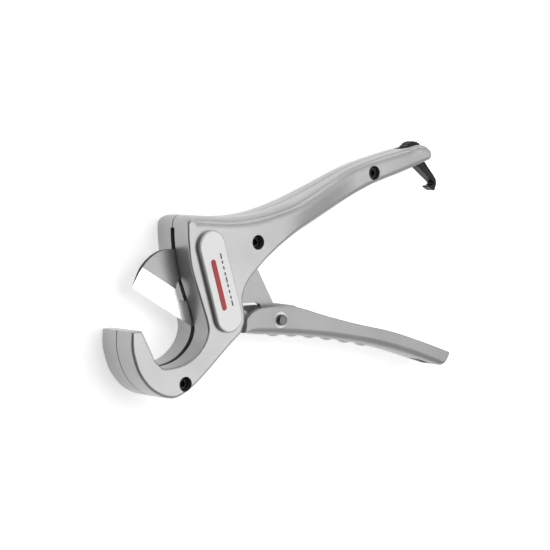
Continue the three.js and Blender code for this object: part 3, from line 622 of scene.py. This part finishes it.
# ---- screws and the blade pin
for i, (at, head, seat, floor_z, nut) in enumerate(SCREWS, 1):
    o = lathe("tmp", at, [(0, floor_z + 0.3), (1.6, floor_z + 0.3), (2.0, floor_z + 0.8), (2.0, seat + 0.05), (3.4, seat + 0.05),
                          (3.4, head - 0.7), (3.3, head - 0.35), (3.05, head - 0.1), (2.7, head), (0, head)])
    star = [(at[0] + (1.55 + 0.3 * math.cos(6 * a * R)) * math.cos(a * R), at[1] + (1.55 + 0.3 * math.cos(6 * a * R)) * math.sin(a * R)) for a in range(0, 360, 5)]
    cut(o, prism(star, head - 1.9, head + 1))
    dress(finish_mesh(o, f"socket_screw_{i}", 30), "body", BLACK, "blackened_steel", f"body_screw_{i}")
pin = lathe("tmp", BLADE_PIN, [(0, 2.0), (2.1, 2.0), (2.5, 2.4), (2.5, 22.3), (2.75, 22.3), (2.75, 23.7), (2.6, 24.1), (2.3, 24.35), (1.9, 24.4), (0, 24.4)])
dress(finish_mesh(pin, "turned_blade_pin", 30), "lever", STEEL, "pin_steel", "blade_pin")

# ---- label: a film with plain bars on it, and no lettering
film = rounded([(x, y, 0.16, None) for x, y in stadium(*LABEL, 7.2, 32)], 28.05, 28.4, 3, False)
dress(finish_mesh(film, "label_film_plate", 40), "body", PAPER, "label", "label_plate")
ax = Vector((LABEL[0][0] - LABEL[1][0], LABEL[0][1] - LABEL[1][1])).normalized()
across = Vector((-ax.y, ax.x))
mid = Vector(((LABEL[0][0] + LABEL[1][0]) / 2, (LABEL[0][1] + LABEL[1][1]) / 2))


def bar(name, u, w, length, width, material):
    c = mid + ax * u + across * w
    e = ax * ((length - width) / 2)
    o = rounded([(x, y, 0.03, None) for x, y in stadium(tuple(c + e), tuple(c - e), width / 2, 8)], 28.3, 28.42, 2, False)
    dress(finish_mesh(o, name, 40), "body", material, "label")


bar("label_bar_red", -1.0, 2.0, 26.0, 3.0, INK_RED)
for i in range(9):
    bar(f"label_tick_{i + 1}", -12.0 + i * 3.0, -3.2, 3.0 if i % 4 == 0 else 1.8, 0.8, INK_DARK)

# ---- CAD nodes that stay, with finished materials
for names, material in ((("body_nut_1", "body_nut_2", "body_nut_3", "blade_pin_clip"), BLACK),
                        (("lever_pivot_pin", "pivot_sleeve", "thrust_washer", "guide_pin", "guide_bushing", "latch_pin",
                          "dowel_pin_1", "dowel_pin_2", "blade_spacer_front", "blade_spacer_back"), STEEL)):
    for n in names:
        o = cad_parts[n]
        o.data.materials.clear()
        o.data.materials.append(material)

# ---- springs: each spring's CAD mesh is copied as a coil with spring-wire material, and the CAD node is hidden
for name, moving, (px, py), still, driven in (("opening_spring", "lever", PIVOT, 22.2, 19.9), ("latch_spring", "latch", LATCH, 17.5, 16.5)):
    coil = bpy.data.objects.new(f"{name}_coil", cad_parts[name].data.copy())
    coil.matrix_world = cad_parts[name].matrix_world.copy()
    bpy.context.scene.collection.objects.link(coil)
    coil.data.materials.clear()
    coil.data.materials.append(SPRING)
    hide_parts(name)
    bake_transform(coil)

# ---- floor, light, camera
ground = new("floor", [(-4000, -4000, 0), (4000, -4000, 0), (4000, 4000, 0), (-4000, 4000, 0)], [[0, 1, 2, 3]])
ground.location.z = -0.0002
fm, ft, fb, node, link = nodes_of("floor_paper")
fn, fr = node("ShaderNodeTexNoise"), node("ShaderNodeValToRGB")
fn.inputs["Scale"].default_value = 3
fr.color_ramp.elements[0].color, fr.color_ramp.elements[1].color = (0.93, 0.93, 0.93, 1), (0.95, 0.95, 0.95, 1)
link(fn.outputs["Fac"], fr.inputs["Fac"])
link(fr.outputs["Color"], fb.inputs["Base Color"])
fb.inputs["Roughness"].default_value = 0.9
link(fr.outputs["Color"], fb.inputs["Emission Color"])
fb.inputs["Emission Strength"].default_value = 0.56
fb.inputs["Specular IOR Level"].default_value = 0.1
ground.data.materials.append(fm)
ground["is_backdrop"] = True

world = bpy.data.worlds.new("studio")
bpy.context.scene.world = world
world.use_nodes = True
wt = world.node_tree
wc, ws, wr = wt.nodes.new("ShaderNodeTexCoord"), wt.nodes.new("ShaderNodeSeparateXYZ"), wt.nodes.new("ShaderNodeValToRGB")
wm = wt.nodes.new("ShaderNodeMapRange")
wm.inputs["From Min"].default_value, wm.inputs["From Max"].default_value = -1, 1
wt.links.new(wc.outputs["Generated"], ws.inputs[0])
wt.links.new(ws.outputs["X"], wm.inputs["Value"])
wt.links.new(wm.outputs[0], wr.inputs["Fac"])
wr.color_ramp.elements[0].position, wr.color_ramp.elements[1].position = 0.05, 0.85
wr.color_ramp.elements[0].color, wr.color_ramp.elements[1].color = (0.01, 0.01, 0.01, 1), (0.50, 0.50, 0.50, 1)
wt.links.new(wr.outputs["Color"], wt.nodes["Background"].inputs["Color"])
wt.nodes["Background"].inputs["Strength"].default_value = 1.0


def softbox(name, at, to, w, h, power):
    light = bpy.data.lights.new(name, "AREA")
    light.shape, light.size, light.size_y, light.energy = "RECTANGLE", w, h, power
    o = bpy.data.objects.new(name, light)
    o.location = at
    o.rotation_euler = (Vector(to) - Vector(at)).to_track_quat("-Z", "Y").to_euler()
    bpy.context.scene.collection.objects.link(o)


softbox("key", (0.38, 0.16, 1.15), (0, 0, 0), 1.5, 1.0, 6.8)
softbox("streak", (0.72, 0.76, 0.44), (0, 0, 0.01), 0.9, 0.07, 0.9)
softbox("top", (-0.15, 0.35, 1.30), (0, 0, 0), 0.6, 0.30, 1.3)
softbox("strip", (0.0, 0.95, 0.30), (0, 0, 0.01), 1.4, 0.07, 0.9)
softbox("blade_card", (0.54, -0.27, 0.80), (-0.07, 0.0, 0.013), 0.24, 0.24, 0.068)

th = 38.7 * R
ex = Vector((math.cos(5 * R), -math.sin(5 * R), 0))
ez = Vector((0, 0, 1))
toward = ex * -math.sin(th) + ez * math.cos(th)
right0 = ex * math.cos(th) + ez * math.sin(th)
up0 = Vector((math.sin(5 * R), math.cos(5 * R), 0))
right = right0 * math.cos(5 * R) + up0 * math.sin(5 * R)
up = right0 * -math.sin(5 * R) + up0 * math.cos(5 * R)
target = Vector((-ORIGIN[0], -ORIGIN[1], MID)) / 1000
cam = bpy.data.objects.new("camera", bpy.data.cameras.new("camera"))
bpy.context.scene.collection.objects.link(cam)
m = Matrix((right, up, toward)).transposed().to_4x4()
m.translation = target + toward * 1.1
cam.matrix_world = m
cam.data.sensor_width, cam.data.lens = 36, 144
cam.data.clip_start, cam.data.clip_end = 0.05, 30
bpy.context.scene.camera = cam
bpy.context.scene.view_settings.view_transform = "Standard"

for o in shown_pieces():
    used = {p.material_index for p in o.data.polygons}
    if any(i >= len(o.data.materials) or o.data.materials[i] is None for i in used):
        raise RuntimeError(f"{o.name} has faces with no material")
